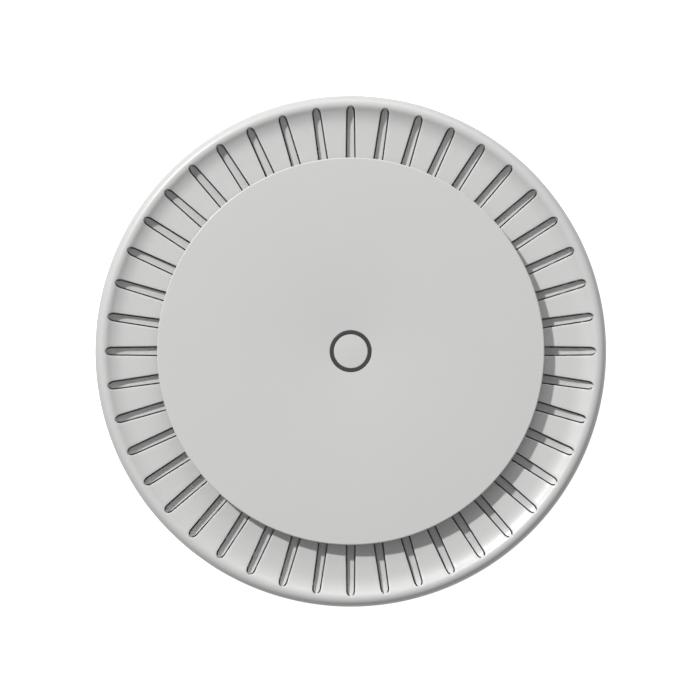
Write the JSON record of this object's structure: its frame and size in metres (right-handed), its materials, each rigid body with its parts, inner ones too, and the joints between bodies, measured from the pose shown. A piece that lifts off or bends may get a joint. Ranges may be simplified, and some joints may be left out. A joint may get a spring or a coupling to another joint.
{
  "type": "ceiling access point",
  "caption": "Round ceiling-mount wireless access point with a raised flat disc, a slotted vent channel, a light ring and a twist-lock mounting bracket.",
  "frame": {"origin": "middle of the mounting bracket face that lies against the ceiling", "axes": "+Z out of the front disc, which is down into the room when the unit hangs; -Y is the side where the cables leave; +X completes the right-handed frame"},
  "size_m": [0.191, 0.191, 0.042],
  "materials": {
    "shell_plastic": "fine matt moulded plastic, pale warm grey",
    "inner_plastic": "satin moulded plastic, pale grey",
    "bracket_plastic": "fine matt moulded plastic, pale grey",
    "smoked_lens": "smoked translucent light guide",
    "label_paper": "blank matt label",
    "plated_steel": "zinc plated",
    "circuit_board": "solder-masked laminate",
    "chip_black": "matt moulding compound",
    "tin_plate": "tin-plated sheet",
    "thermal_pad": "soft gap pad",
    "bare_aluminium": "extruded, bare",
    "capacitor_can": "drawn can",
    "ferrite_grey": "pressed ferrite",
    "led_body": "clear epoxy over phosphor",
    "jack_plastic": "glass-filled nylon",
    "gold_contact": "gold flash",
    "lead_sheath": "thin coaxial sheath",
    "antenna_board": "thin laminate",
    "button_plastic": "moulded button"
  },
  "bodies": {
    "bracket": {"mounting_bracket": "bracket_plastic"},
    "unit": {"antenna_1": "antenna_board", "antenna_2": "antenna_board", "antenna_3": "antenna_board", "antenna_4": "antenna_board", "antenna_lead_1": "lead_sheath", "antenna_lead_2": "lead_sheath", "antenna_lead_3": "lead_sheath", "antenna_lead_4": "lead_sheath", "board_screws": "plated_steel", "case_screws": "plated_steel", "clock_crystal": "tin_plate", "coax_plugs": "gold_contact", "downlink_jack_contacts": "gold_contact", "downlink_jack_insert": "jack_plastic", "downlink_jack_shell": "tin_plate", "ethernet_switch_chip": "chip_black", "ethernet_transformers": "chip_black", "flash_chip": "chip_black", "front_disc": "shell_plastic", "front_shell": "shell_plastic", "heat_sink": "bare_aluminium", "heat_sink_screws": "plated_steel", "louvre_ring": "inner_plastic", "main_board": "circuit_board", "memory_chips": "chip_black", "mode_switch_body": "chip_black", "power_inductors": "ferrite_grey", "power_jack_housing": "jack_plastic", "power_jack_pin": "gold_contact", "processor": "chip_black", "radio_chips": "chip_black", "rating_label": "label_paper", "rear_casing": "shell_plastic", "reset_switch_body": "chip_black", "shield_frames": "tin_plate", "shield_lids": "tin_plate", "small_passives": "ferrite_grey", "smoothing_capacitors": "capacitor_can", "status_leds": "led_body", "status_ring_lens": "smoked_lens", "thermal_pads": "thermal_pad", "uplink_jack_contacts": "gold_contact", "uplink_jack_insert": "jack_plastic", "uplink_jack_shell": "tin_plate"},
    "mode_button": {"mode_button": "button_plastic", "mode_switch_plunger": "button_plastic"},
    "reset_button": {"reset_button": "button_plastic", "reset_switch_plunger": "button_plastic"}
  },
  "joints": [
    {"name": "twist_lock", "type": "hinge", "parent": "bracket", "child": "unit", "pos_m": [0, 0, 0], "axis": [0, 0, 1], "range_deg": [0, 30]},
    {"name": "mode_button_press", "type": "slide", "parent": "unit", "child": "mode_button", "axis": [0, 1, 0], "range_m": [0, 0.0005], "stiffness_N_per_m": 500, "springref_m": -0.0005},
    {"name": "reset_button_press", "type": "slide", "parent": "unit", "child": "reset_button", "axis": [0, 1, 0], "range_m": [0, 0.0005], "stiffness_N_per_m": 500, "springref_m": -0.0005}
  ]
}
